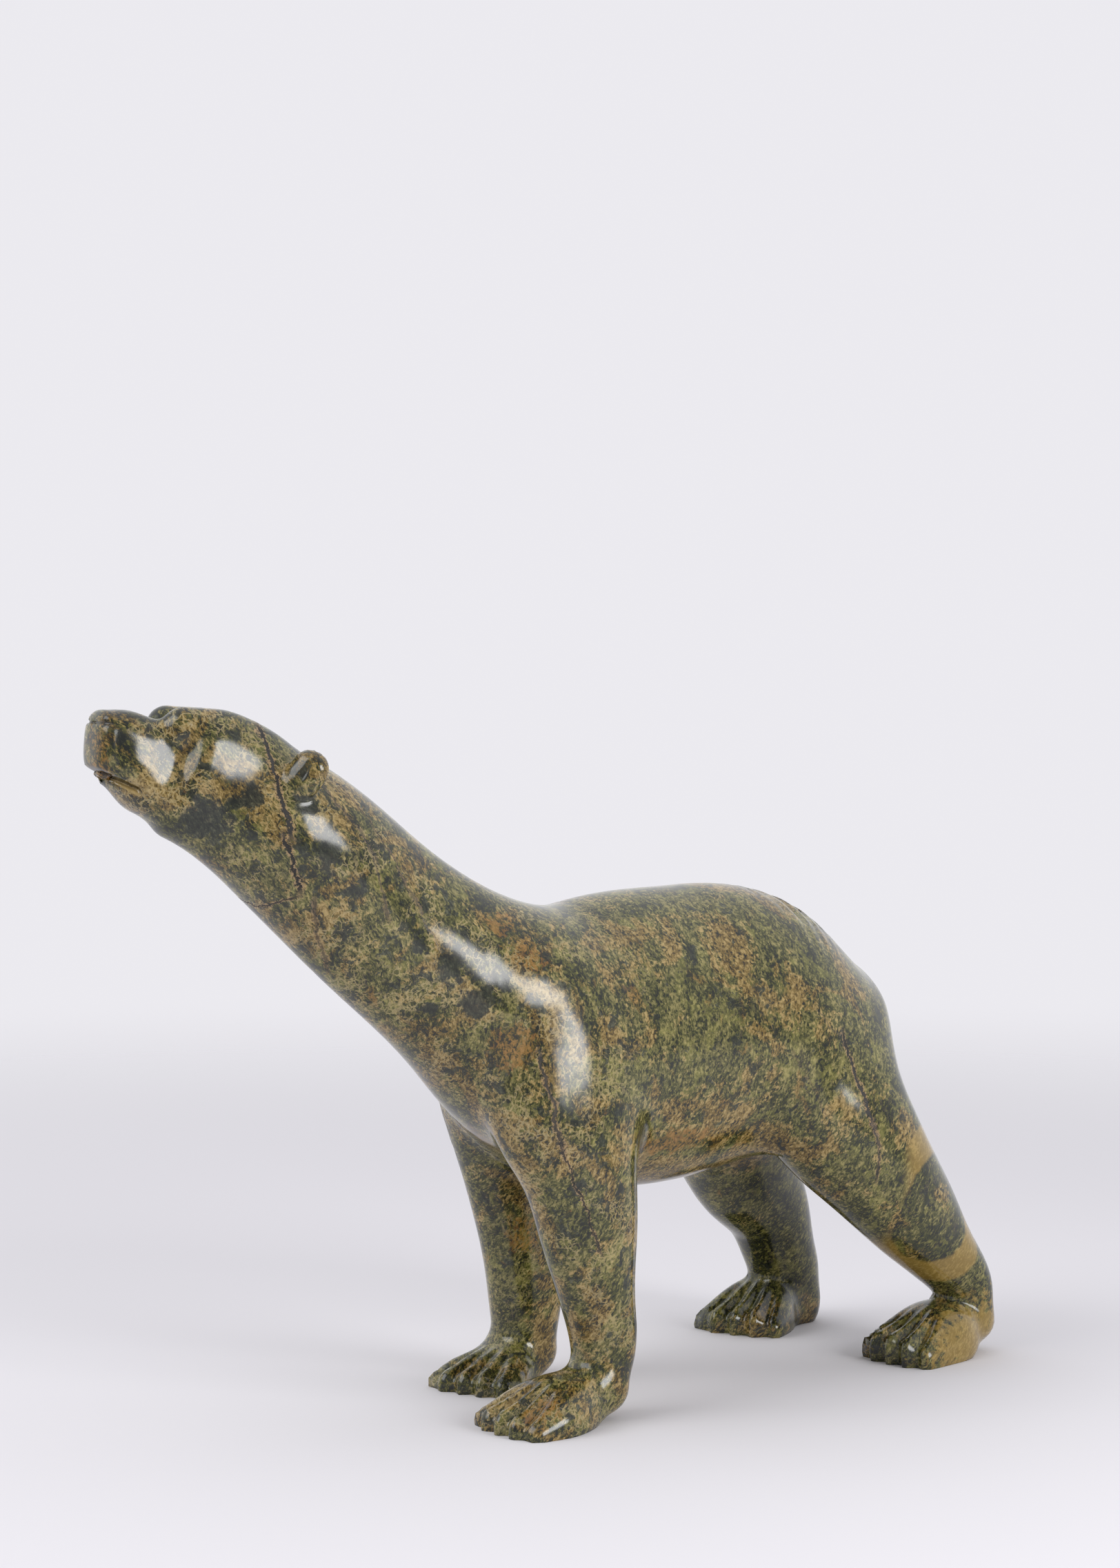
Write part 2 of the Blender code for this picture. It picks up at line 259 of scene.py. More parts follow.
class Bar:
    """A rounded bar along a smooth curve through its stations, closed by a rounded end at each end."""

    def __init__(self, stations, ends, squareness=2.0, side=(0.0, 1.0, 0.0)):
        rows = np.array(stations, float)
        steps = np.linalg.norm(np.diff(rows[:, :3], axis=0), axis=1)
        self.knots = np.concatenate([[0.0], np.cumsum(steps)])
        path = smooth_curve(self.knots, rows[:, :3], False)
        sizes = smooth_curve(self.knots, rows[:, 3:], True)
        self.curve = np.concatenate([path, sizes], axis=2)
        self.ends = ends
        self.squareness = squareness
        self.side = np.array(side)
        self.marks = np.linspace(0.0, self.knots[-1], SAMPLES)
        self.trail = self.at(self.marks)[0]
        spread = self.trail[:, 3:].max() + max(ends) + REACH
        self.low = self.trail[:, :3].min(0) - spread
        self.high = self.trail[:, :3].max(0) + spread

    def at(self, marks):
        """Values and slopes of the station numbers at distances along the bar."""
        stretch = np.clip(np.searchsorted(self.knots, marks) - 1, 0, len(self.knots) - 2)
        past = (marks - self.knots[stretch])[:, None]
        c0, c1, c2, c3 = self.curve[:, stretch]
        return ((c3 * past + c2) * past + c1) * past + c0, (3 * c3 * past + 2 * c2) * past + c1

    def near(self, points):
        """Where on the curve each point is nearest: (values, slopes) there."""
        trail = self.trail[:, :3]
        score = 2 * points @ trail.T - dot(trail, trail)
        marks = self.marks[score.argmax(1)]
        for _ in range(NEAREST_STEPS):
            value, slope = self.at(marks)
            along = slope[:, :3]
            marks = marks + dot(points - value[:, :3], along) / dot(along, along)
            marks = np.clip(marks, 0.0, self.knots[-1])
        return self.at(marks)

    def depth(self, points):
        """How far each point is outside the bar, less than zero inside it."""
        result = np.full(len(points), FAR_OFF)
        close = ((points > self.low) & (points < self.high)).all(1)
        points = points[close]
        if not len(points):
            return result
        value, slope = self.near(points)
        tangent = unit(slope[:, :3])
        side = unit(self.side - dot(tangent, self.side)[:, None] * tangent)
        away = points - value[:, :3]
        ahead = dot(away, tangent)
        end = np.where(ahead < 0, self.ends[0], self.ends[1])
        shares = np.stack([
            dot(away, np.cross(tangent, side)) / value[:, 3],
            dot(away, side) / value[:, 4],
            ahead / end,
        ])
        ratio = (np.abs(shares) ** self.squareness).sum(0) ** (1 / self.squareness)
        length = np.linalg.norm(away, axis=1)
        result[close] = length - length / np.maximum(ratio, 1e-6)
        return result


def merge(first, second, blend):
    """Union of two depths with a rounded inner corner about blend wide."""
    overlap = np.maximum(blend - np.abs(first - second), 0.0) / blend
    return np.minimum(first, second) - overlap**3 * blend / 6


def cut(depth, cutter, blend):
    """The depth with a cutter taken out of it, its edges rounded."""
    return -merge(-depth, cutter, blend)


def head_axes():
    """Unit vectors ahead of the head, out to its right and up."""
    turn = (math.cos(HEAD_TURN), math.sin(HEAD_TURN))
    return np.array([(-turn[0], turn[1], 0.0), (turn[1], turn[0], 0.0), (0.0, 0.0, 1.0)])


def head_pair(stations, ends, faces=(0.0, 1.0), squareness=2.0):
    """The left and the right bar of one feature of the head."""
    axes = head_axes()
    bars = []
    for side in (-1, 1):
        rows = []
        for ahead, out, above, depth, width in stations:
            place = HEAD + np.array((ahead, side * out, above)) @ axes
            rows.append((*place, depth, width))
        facing = np.array((faces[0], side * faces[1], 0.0)) @ axes
        bars.append(Bar(rows, ends, squareness, facing))
    return bars


def ramp(values, start, full):
    """0 up to start, 1 from full on, and smooth between."""
    share = np.clip((values - start) / (full - start), 0.0, 1.0)
    return share * share * (3 - 2 * share)


def face_grooves(points):
    """How deep the mouth, the nostril slits and the furrow between the brows are at each point."""
    ahead, out, above = ((points - HEAD) @ head_axes().T).T
    slope = (MOUTH_HEIGHTS[1] - MOUTH_HEIGHTS[0]) / (MOUTH_FRONT - MOUTH_BACK)
    over = above - MOUTH_HEIGHTS[0] - slope * (ahead - MOUTH_BACK)
    width = np.where(over > 0, *MOUTH_WIDTHS)
    mouth = MOUTH_DEPTH * np.exp(-((over / width) ** 2)) * ramp(ahead, MOUTH_BACK - 0.6, MOUTH_BACK + 0.6)
    over = (above - NOSTRIL_HEIGHT) / NOSTRIL_WIDTH
    nostril = NOSTRIL_DEPTH * np.exp(-(over**2)) * ramp(ahead, NOSTRIL_BACK, NOSTRIL_BACK + 4)
    nostril = nostril * ramp(np.abs(out), 1.0, 3.0)
    furrow = FURROW_DEPTH * np.exp(-((out / FURROW_WIDTH) ** 2))
    furrow = furrow * ramp(ahead, *FURROW_SPAN) * ramp(above, *FURROW_HEIGHTS) * ramp(-ahead, *FURROW_FADE)
    return mouth + nostril + furrow


def toe_grooves(points, paw):
    """How deep the grooves between the five toes of a paw are at each point."""
    (heel_x, heel_y), (tip_x, tip_y), depth, sharpness = TOES[paw]
    axis = np.array((tip_x - heel_x, tip_y - heel_y), float)
    length = math.hypot(*axis)
    axis /= length
    away = points[:, :2] - (heel_x, heel_y)
    ahead = away @ axis
    across = away @ np.array((-axis[1], axis[0]))
    toe = np.clip(np.arctan2(across, np.maximum(ahead, 1.0)) / TOE_FAN, -2.0, 2.0)
    groove = (0.5 - 0.5 * np.cos(2 * math.pi * toe)) ** sharpness
    return depth * groove * ramp(ahead / length, TOE_START, TOE_FULL)


BODY = Bar(SPINE, SPINE_ENDS)
LEG_BARS = {name: Bar(rows, LEG_ENDS) for name, rows in LEGS.items()}
PAW_BARS = {name: Bar(rows, PAW_ENDS, PAW_SQUARENESS) for name, rows in PAWS.items()}
MUZZLE_BAR = Bar(MUZZLE, MUZZLE_ENDS, MUZZLE_SQUARENESS)
CHEEK_BARS = head_pair(JOWL, JOWL_ENDS) + head_pair(CHEEK, CHEEK_ENDS, squareness=CHEEK_SQUARENESS)
BROW_BARS = head_pair(BROW, BROW_ENDS)
EAR_BARS = head_pair(EAR, EAR_ENDS, EAR_FACES)
EAR_CUTTERS = head_pair(EAR_HOLLOW, EAR_HOLLOW_ENDS, EAR_FACES)
TAIL_BAR = Bar(TAIL, TAIL_ENDS)
ALL_BARS = [BODY, MUZZLE_BAR, *CHEEK_BARS, *BROW_BARS, *EAR_BARS, TAIL_BAR]
ALL_BARS += [*LEG_BARS.values(), *PAW_BARS.values()]


def form(points):
    """Depth of the whole bear at each point."""
    depth = BODY.depth(points)
    for cheek in CHEEK_BARS:
        depth = merge(depth, cheek.depth(points), CHEEK_BLEND)
    depth = merge(depth, MUZZLE_BAR.depth(points), MUZZLE_BLEND)
    for brow in BROW_BARS:
        depth = merge(depth, brow.depth(points), BROW_BLEND)
    for ear in EAR_BARS:
        depth = merge(depth, ear.depth(points), EAR_BLEND)
    for hollow in EAR_CUTTERS:
        depth = cut(depth, hollow.depth(points), EAR_CUT_BLEND)
    depth = depth + face_grooves(points)
    depth = merge(depth, TAIL_BAR.depth(points), TAIL_BLEND)
    for name, leg in LEG_BARS.items():
        paw = PAW_BARS[name].depth(points) + toe_grooves(points, name)
        limb = merge(leg.depth(points), paw, PAW_BLEND)
        depth = merge(depth, limb, LEG_BLEND)
    return depth


def slope_of(points, step=0.05):
    """Direction in which the depth grows, from four readings round each point."""
    corners = np.array([(1, -1, -1), (-1, -1, 1), (-1, 1, -1), (1, 1, 1)], float)
    return sum(corner * form(points + step * corner)[:, None] for corner in corners) / (4 * step)


def settle(points):
    """Points moved straight onto the form."""
    slope = slope_of(points)
    return points - (form(points) / np.maximum(dot(slope, slope), LEAST_SLOPE))[:, None] * slope


def rough_skin(cell):
    """A coarse skin round the bars: balls along every bar, joined by a voxel remesh."""
    mesh = bmesh.new()
    for bar in ALL_BARS:
        for x, y, z, depth, width in bar.trail[::BALL_EVERY]:
            ball = bmesh.ops.create_icosphere(mesh, subdivisions=3, radius=1.0)
            size = min(depth, width)
            place = Matrix.Translation((x, y, z)) @ Matrix.Diagonal((size, width, size, 1.0))
            bmesh.ops.transform(mesh, matrix=place, verts=ball["verts"])
    skin = bpy.data.objects.new("bear_stone", bpy.data.meshes.new("bear_stone"))
    mesh.to_mesh(skin.data)
    mesh.free()
    bpy.context.scene.collection.objects.link(skin)
    remesh = skin.modifiers.new("skin", "REMESH")
    remesh.mode = "VOXEL"
    remesh.voxel_size = cell
    bpy.context.view_layer.update()
    shaped = skin.evaluated_get(bpy.context.evaluated_depsgraph_get())
    joined = bpy.data.meshes.new_from_object(shaped)
    skin.modifiers.clear()
    skin.data = joined
    return skin


def places(verts):
    return np.array([vert.co for vert in verts])


def move(verts, points):
    for vert, point in zip(verts, points):
        vert.co = point


def even_out(mesh, verts):
    axes = {"use_axis_x": True, "use_axis_y": True, "use_axis_z": True}
    bmesh.ops.smooth_vert(mesh, verts=verts, factor=0.5, **axes)


def fine_carving(points):
    """Which points lie on the face, the ears or the toes, and which on their sharp carving."""
    ahead, _, above = ((points - HEAD) @ head_axes().T).T
    ear = np.minimum(*(bar.depth(points) for bar in EAR_BARS))
    hollow = np.minimum(*(bar.depth(points) for bar in EAR_CUTTERS))
    toe = np.zeros(len(points))
    for name, bar in PAW_BARS.items():
        toe = np.maximum(toe, np.where(bar.depth(points) < PAW_REACH, toe_grooves(points, name), 0))
    grooves = face_grooves(points) * (ahead > BROWS_START)
    fine = (ahead > FACE_START) & (above > 0) | (ear < EAR_REACH) | (toe > SHALLOW)
    sharp = (grooves > SHALLOW) | (hollow < HOLLOW_REACH) | (toe > STEEP)
    return fine, sharp & fine


def split(mesh, chosen):
    """Halves the cells whose corners are all chosen, and returns the points on them."""
    edges = [edge for edge in mesh.edges if chosen[edge.verts[0].index] and chosen[edge.verts[1].index]]
    made = bmesh.ops.subdivide_edges(mesh, edges=edges, cuts=1, use_grid_fill=True)
    verts = {item for item in made["geom"] if isinstance(item, bmesh.types.BMVert)}
    verts.update(vert for edge in edges if edge.is_valid for vert in edge.verts)
    mesh.verts.index_update()
    mesh.verts.ensure_lookup_table()
    return list(verts)


def carve(bear):
    """Settles the skin onto the form, coarse first, then finer, finest where the carving is sharp."""
    mesh = bmesh.new()
    mesh.from_mesh(bear.data)
    for _ in range(COARSE_ROUNDS):
        move(mesh.verts, settle(settle(places(mesh.verts))))
        even_out(mesh, mesh.verts)
    split(mesh, np.ones(len(mesh.verts), bool))
    even_out(mesh, mesh.verts)
    move(mesh.verts, settle(settle(places(mesh.verts))))
    for level in (0, 1):
        chosen = fine_carving(places(mesh.verts))[level]
        near = split(mesh, chosen)
        move(near, settle(settle(places(near))))
    mesh.to_mesh(bear.data)
    mesh.free()


def stand(bear):
    """Cuts the paws flat at the ground, closes the soles and sets the bear on its solid's middle."""
    mesh = bmesh.new()
    mesh.from_mesh(bear.data)
    everything = mesh.verts[:] + mesh.edges[:] + mesh.faces[:]
    bmesh.ops.bisect_plane(mesh, geom=everything, dist=GROUND_CLEARANCE,
                           plane_co=(0, 0, 0), plane_no=(0, 0, -1), clear_outer=True)
    for vert in mesh.verts:
        if vert.co.z < GROUND_CLEARANCE:
            vert.co.z = 0.0
    rims = [edge for edge in mesh.edges if edge.is_boundary]
    bmesh.ops.edgeloop_fill(mesh, edges=rims)
    bmesh.ops.recalc_face_normals(mesh, faces=mesh.faces)
    points = places(mesh.verts)
    low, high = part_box("polar_bear")
    middle = (low + high) / 2
    own = Vector((points.min(0) + points.max(0)) / 2) * MILLIMETRE
    shift = Vector((middle.x - own.x, middle.y - own.y, 0.0))
    place = Matrix.Translation(shift) @ Matrix.Scale(MILLIMETRE, 4)
    bmesh.ops.transform(mesh, matrix=place, verts=mesh.verts)
    mesh.to_mesh(bear.data)
    mesh.free()
    return shift


class Recipe:
    """The nodes of one material; each call adds one and returns the socket that it gives."""

    def __init__(self, name):
        self.material = bpy.data.materials.new(name)
        self.material.use_nodes = True
        self.nodes = self.material.node_tree.nodes
        self.links = self.material.node_tree.links
        self.shader = self.nodes["Principled BSDF"]

    def put(self, value, socket):
        if isinstance(value, bpy.types.NodeSocket):
            self.links.new(value, socket)
        else:
            socket.default_value = value

    def place(self, shift, scale):
        """Object coordinates, moved by shift and then in units of 1 / scale metres."""
        where = self.nodes.new("ShaderNodeTexCoord").outputs["Object"]
        return self.vector("SCALE", self.vector("SUBTRACT", where, shift), scale)

    def vector(self, operation, first, second):
        node = self.nodes.new("ShaderNodeVectorMath")
        node.operation = operation
        self.put(first, node.inputs[0])
        self.put(second, node.inputs[3 if operation == "SCALE" else 1])
        return node.outputs["Value" if operation in ("DOT_PRODUCT", "LENGTH") else "Vector"]

    def number(self, operation, first, second=0.0, third=0.0):
        node = self.nodes.new("ShaderNodeMath")
        node.operation = operation
        self.put(first, node.inputs[0])
        self.put(second, node.inputs[1])
        self.put(third, node.inputs[2])
        return node.outputs[0]

    def parts(self, where):
        node = self.nodes.new("ShaderNodeSeparateXYZ")
        self.put(where, node.inputs[0])
        return node.outputs

    def joined(self, x, y, z):
        node = self.nodes.new("ShaderNodeCombineXYZ")
        for value, socket in zip((x, y, z), node.inputs):
            self.put(value, socket)
        return node.outputs[0]

    def noise(self, where, size, detail=4.0, rough=0.6, twist=0.0, colour=False):
        node = self.nodes.new("ShaderNodeTexNoise")
        self.put(where, node.inputs["Vector"])
        node.inputs["Scale"].default_value = 1 / size
        node.inputs["Detail"].default_value = detail
        node.inputs["Roughness"].default_value = rough
        node.inputs["Distortion"].default_value = twist
        return node.outputs["Color" if colour else 0]

    def cells(self, where, size):
        """Distance to the edges between irregular cells of about that size."""
        node = self.nodes.new("ShaderNodeTexVoronoi")
        node.feature = "DISTANCE_TO_EDGE"
        self.put(where, node.inputs["Vector"])
        node.inputs["Scale"].default_value = 1 / size
        return node.outputs["Distance"]

    def flecks(self, where, size):
        """A random number from 0 to 1 for each of the irregular grains of about that size."""
        node = self.nodes.new("ShaderNodeTexVoronoi")
        self.put(where, node.inputs["Vector"])
        node.inputs["Scale"].default_value = 1 / size
        return self.parts(node.outputs["Color"])[0]

    def between(self, value, low, high, from_value=0.0, to_value=1.0):
        """from_value up to low, to_value from high on, and smooth between."""
        node = self.nodes.new("ShaderNodeMapRange")
        node.interpolation_type = "SMOOTHSTEP"
        names = ("From Min", "From Max", "To Min", "To Max")
        for name, number in zip(names, (low, high, from_value, to_value)):
            node.inputs[name].default_value = number
        self.put(value, node.inputs["Value"])
        return node.outputs[0]

    def shades(self, value, *stops):
        node = self.nodes.new("ShaderNodeValToRGB")
        elements = node.color_ramp.elements
        for at, _ in stops[2:]:
            elements.new(at)
        for element, (at, colour) in zip(elements, stops):
            element.position = at
            element.color = (*colour, 1.0)
        self.put(value, node.inputs[0])
        return node.outputs[0]

    def mix(self, share, first, second, blend="MIX"):
        node = self.nodes.new("ShaderNodeMix")
        node.data_type = "RGBA"
        node.blend_type = blend
        self.put(share, node.inputs[0])
        self.put((*first, 1.0) if isinstance(first, tuple) else first, node.inputs[6])
        self.put((*second, 1.0) if isinstance(second, tuple) else second, node.inputs[7])
        return node.outputs[2]


# Stone colours.
BLUE_BLACK = (0.010, 0.012, 0.009)
DEEP_MOSS = (0.022, 0.027, 0.007)
MOSS = (0.052, 0.058, 0.014)
OLIVE = (0.122, 0.115, 0.036)
STRAW = (0.25, 0.215, 0.080)
LIME = (0.19, 0.175, 0.036)
SLATE = (0.027, 0.033, 0.023)
SLATE_LIGHT = (0.105, 0.110, 0.066)
OCHRE_DARK = (0.075, 0.045, 0.010)
OCHRE = (0.19, 0.122, 0.031)
# Pale ochre of the stone, also the colour of the painted highlight on the lower lip.
PALE_OCHRE_AND_LIP_HIGHLIGHT = (0.40, 0.285, 0.115)
MUSTARD = (0.34, 0.225, 0.048)
RUST = (0.26, 0.115, 0.018)
NET = (0.42, 0.33, 0.16)
# Near-black of the vein cores, also used as painted shade in the mouth and the nostril slits.
CRACK_AND_GROOVE_SHADE = (0.010, 0.007, 0.005)
CRACK_EDGE = (0.34, 0.225, 0.115)

# Veins through the stone: (start, end, the way they face, half width, how dark).
VEINS = [
    ((-90, -1, 276), (-84, -12, 232), (-0.35, -0.9, 0.2), 0.7, 1.0),
    ((-86, -12, 236), (-79, -11, 213), (-0.55, -0.8, -0.2), 0.6, 1.0),
    ((-79, -12, 213), (-88, 16, 208), (-0.6, -0.3, -0.7), 0.4, 0.9),
    ((-74, -14, 212), (-60, -4, 180), (-0.6, -0.5, -0.5), 0.5, 0.6),
    ((-69, -15, 251), (-49, -25, 222), (0.1, -0.97, 0.2), 0.5, 0.55),
    ((-57, -20, 236), (-44, -25, 200), (-0.1, -0.97, 0.1), 0.45, 0.5),
    ((-42, -22, 226), (-22, -28, 190), (0.0, -0.97, 0.2), 0.4, 0.4),
    ((14, -40, 148), (22, -47, 108), (-0.5, -0.87, 0.0), 0.65, 0.9),
    ((20, -47, 112), (38, -50, 68), (-0.4, -0.9, -0.1), 0.4, 0.9),
    ((159, -47, 153), (173, -49, 142), (0.0, -0.98, 0.2), 0.3, 0.3),
    ((173, -49, 144), (185, -58, 100), (-0.05, -0.98, 0.18), 0.65, 1.0),
    ((184, -58, 106), (186, -58, 82), (-0.2, -0.97, 0.0), 0.45, 0.8),
    ((145, -48, 139), (163, -50, 111), (-0.25, -0.97, -0.06), 0.3, 0.3),
    ((-66, -12, 262), (-36, -22, 214), (0.2, -0.9, 0.35), 0.35, 0.6),
]

# Patches of the stone, one of them also painted shade under the left ear: (middle, half sizes).
INK_AND_SHADE_SPOTS = [
    ((-112, 1, 240), (9, 14, 8)),
    ((-102, -4, 247), (5, 8, 4)),
    ((-72, -19, 229), (5, 9, 10)),
    # Partly a dark blotch of the stone and partly painted shade under the left ear.
    ((-79, -17, 246), (6, 5, 4)),
    ((-97, -6, 250), (4, 8, 4)),
    ((-18, -29, 183), (7, 9, 9)),
    ((-8, -31, 168), (8, 9, 6)),
    ((-30, -26, 190), (6, 8, 3)),
    ((2, -36, 176), (5, 8, 4)),
    ((30, 14, 118), (5, 9, 5)),
]
RUST_SPOTS = [
    ((6, -35, 150), (10, 10, 9)),
    ((16, -33, 184), (7, 8, 7)),
    ((8, -27, 197), (8, 9, 5)),
    ((21, 4, 111), (9, 9, 8)),
    ((65, 25, 64), (8, 9, 8)),
    ((92, -36, 105), (20, 14, 5)),
    ((-146, 25, 264), (7, 9, 12)),
    ((12, -45, 10), (9, 8, 9)),
]
SWIRL = (222, -58, 66)
MUSTARD_PAW = ((247, -62, 6), (30, 20, 19))


def vein(stone, where, wander, grains, row):
    """How much of one vein's dark core and of its pale edge each place has."""
    start, end, faces, half_width, strength = row
    along = np.subtract(end, start).astype(float)
    length = float(np.linalg.norm(along))
    along /= length
    across = unit(np.cross(along, faces))
    away = stone.vector("SUBTRACT", where, start)
    off = stone.vector("DOT_PRODUCT", away, tuple(across))
    off = stone.number("ABSOLUTE", stone.number("MULTIPLY_ADD", wander, 9.0, off))
    far = stone.vector("DOT_PRODUCT", away, tuple(along))
    ends = stone.between(stone.number("ABSOLUTE", stone.number("SUBTRACT", far, length / 2)),
                         length / 2 - 3, length / 2 + 3, 1.0, 0.0)
    deep = stone.between(stone.vector("DOT_PRODUCT", away, tuple(unit(np.array(faces, float)))), -22, -14)
    ends = stone.number("MULTIPLY", ends, deep)
    broken = stone.number("MULTIPLY_ADD", grains, 3.4 * half_width, off)
    core = stone.between(broken, half_width * 2.5, half_width * 2.9, strength, 0.0)
    edge = stone.between(stone.number("MULTIPLY_ADD", grains, -3.4 * half_width, off),
                         half_width * 0.1, half_width * 0.7, 0.75 * strength, 0.0)
    return stone.number("MULTIPLY", core, ends), stone.number("MULTIPLY", edge, ends)


def patch(stone, where, ragged, spot):
    """1 inside an egg round the spot's middle, 0 outside, with a ragged rim."""
    middle, sizes = spot
    away = stone.vector("DIVIDE", stone.vector("SUBTRACT", where, middle), sizes)
    reach = stone.number("MULTIPLY_ADD", ragged, 2.6, stone.vector("LENGTH", away, (0.0, 0.0, 0.0)))
    return stone.between(reach, 0.75, 1.15, 1.0, 0.0)


def face_lines(stone, where):
    """How much painted shade lies in the mouth and the nostril slits, and how much painted highlight on
    the lip under the mouth.
    """
    axes = head_axes()
    away = stone.vector("SUBTRACT", where, HEAD)
    ahead = stone.vector("DOT_PRODUCT", away, tuple(axes[0]))
    above = stone.vector("DOT_PRODUCT", away, tuple(axes[2]))
    slope = (MOUTH_HEIGHTS[1] - MOUTH_HEIGHTS[0]) / (MOUTH_FRONT - MOUTH_BACK)
    over = stone.number("MULTIPLY_ADD", ahead, -slope, above)
    over = stone.number("SUBTRACT", over, MOUTH_HEIGHTS[0] - slope * MOUTH_BACK)
    along = stone.between(ahead, MOUTH_BACK - 0.5, MOUTH_BACK + 0.5)
    # Painted shade: a dark line along the bottom of the carved mouth.
    mouth = stone.number("ABSOLUTE", stone.number("SUBTRACT", over, 0.3))
    mouth = stone.between(mouth, 0.15, 0.6, 0.75, 0.0)
    # Painted highlight: a pale band along the bevel of the lower lip under the mouth, widening towards the
    # back.
    low = stone.number("MULTIPLY_ADD", ahead, -0.11, stone.number("ADD", over, 0.11 * LIP_HIGHLIGHT_FRONT))
    lip_highlight = stone.between(over, -0.6, -0.1, 0.75, 0.0)
    lip_highlight = stone.number("MULTIPLY", lip_highlight, stone.between(low, -1.8, -1.4))
    lip_highlight = stone.number("MULTIPLY", lip_highlight, stone.between(ahead, LIP_HIGHLIGHT_FRONT - 3, LIP_HIGHLIGHT_FRONT, 1.0, 0.0))
    # Painted shade in the carved nostril slits.
    slit = stone.number("ABSOLUTE", stone.number("SUBTRACT", above, NOSTRIL_HEIGHT))
    slit = stone.between(slit, 0.3, 0.7, 0.6, 0.0)
    slit = stone.number("MULTIPLY", slit, stone.between(ahead, NOSTRIL_BACK, NOSTRIL_BACK + 2))
    mouth = stone.number("MULTIPLY", mouth, along)
    return stone.number("MAXIMUM", mouth, slit), stone.number("MULTIPLY", lip_highlight, along)


def any_patch(stone, where, ragged, spots):
    found = 0.0
    for spot in spots:
        found = stone.number("MAXIMUM", found, patch(stone, where, ragged, spot))
    return found


def serpentine(shift):
    """Polished serpentine: moss and straw grain, blue-black blotches (the one under the left ear also
    painted shade), ochre clouds, a net of fine pale veinlets, rust, cracks with pale edges, painted shade
    in the mouth and nostril slits, a painted highlight on the lower lip and a soft hand-rubbed surface."""
    stone = Recipe("serpentine")
    where = stone.place(shift, 1 / MILLIMETRE)
    x, y, z = stone.parts(where)
    drift = stone.vector("SUBTRACT", stone.noise(where, 55, 2, 0.5, colour=True), (0.5, 0.5, 0.5))
    drifted = stone.vector("ADD", where, stone.vector("SCALE", drift, 34.0))
    ripple = stone.vector("SUBTRACT", stone.noise(where, 7, 3, 0.6, colour=True), (0.5, 0.5, 0.5))
    rippled = stone.vector("ADD", where, stone.vector("SCALE", ripple, 4.0))
    torn = stone.vector("ADD", where, stone.vector("SCALE", ripple, 9.0))
    front = stone.between(x, 15.0, 100.0, 1.0, 0.0)
    hind = stone.between(x, 170.0, 215.0)
    belly = stone.between(z, 92.0, 128.0, 1.0, 0.0)
    belly = stone.number("MULTIPLY", belly, stone.between(x, 50.0, 80.0))
    belly = stone.number("MULTIPLY", belly, stone.between(x, 150.0, 175.0, 1.0, 0.0))

    # The grain lies in sheets across the bear that lean forward high up and back low down.
    height = stone.number("SUBTRACT", z, 150.0)
    lean = stone.number("SQRT", stone.number("MULTIPLY_ADD", height, height, 3600.0))
    sheet = stone.vector("DOT_PRODUCT", rippled, (0.85, -0.3, 0.0))
    sheet = stone.number("MULTIPLY_ADD", lean, 0.55, sheet)
    grain = stone.joined(stone.number("MULTIPLY", sheet, 1.6), y, z)
    strands = stone.joined(stone.number("MULTIPLY", sheet, 5.0), y, z)
    streaks = stone.joined(stone.number("MULTIPLY", sheet, 4.0), y, stone.number("MULTIPLY", z, 0.7))

    fray = stone.noise(where, 1.1, 2, 0.6, colour=True)
    frayed = stone.vector("ADD", grain, stone.vector("SCALE", fray, 1.3))
    speckle = stone.noise(grain, 1.7, 5, 0.75, 0.3)
    hairs = stone.noise(strands, 3.0, 4, 0.65, 0.5)
    flecks = stone.flecks(frayed, 1.3)
    tone = stone.number("MULTIPLY_ADD", speckle, 0.62, stone.number("MULTIPLY", hairs, 0.26))
    tone = stone.number("MULTIPLY_ADD", flecks, 0.12, tone)
    clouds = stone.number("SUBTRACT", stone.noise(drifted, 15, 3, 0.6), 0.5)
    tone = stone.number("MULTIPLY_ADD", clouds, 0.26, tone)
    streak = stone.number("SUBTRACT", stone.noise(streaks, 14, 3, 0.6), 0.5)
    tone = stone.number("MULTIPLY_ADD", streak, 0.20, tone)
    tone = stone.number("MULTIPLY_ADD", hind, -0.034, tone)
    tone = stone.number("ADD", tone, stone.between(x, -122.0, -98.0, -0.034, -0.006))
    mosses = ((0.39, BLUE_BLACK), (0.44, DEEP_MOSS), (0.485, MOSS), (0.535, OLIVE), (0.62, STRAW))
    green = stone.shades(tone, *mosses)
    gold = stone.shades(tone, (0.385, BLUE_BLACK), (0.43, OCHRE_DARK), (0.50, OCHRE), (0.61, PALE_OCHRE_AND_LIP_HIGHLIGHT))
    lime = stone.noise(drifted, 9, 3, 0.6, 0.3)
    lime = stone.number("MULTIPLY_ADD", stone.number("SUBTRACT", flecks, 0.5), 0.06, lime)
    bright = stone.mix(1.0, green, LIME, "SCREEN")
    green = stone.mix(stone.between(lime, 0.53, 0.62, 0.0, 0.35), green, bright)

    ochre = stone.noise(drifted, 24, 4, 0.65, 0.5)
    ochre = stone.number("MULTIPLY_ADD", stone.number("SUBTRACT", speckle, 0.5), 0.35, ochre)
    ochre = stone.number("MULTIPLY_ADD", front, 0.03, ochre)
    ochre = stone.number("MULTIPLY_ADD", belly, 0.09, ochre)
    ochre = stone.number("MULTIPLY_ADD", hind, -0.05, ochre)
    ochre = stone.number("MULTIPLY_ADD", stone.number("SUBTRACT", flecks, 0.5), 0.07, ochre)
    colour = stone.mix(stone.between(ochre, 0.525, 0.60, 0.06, 0.9), green, gold)

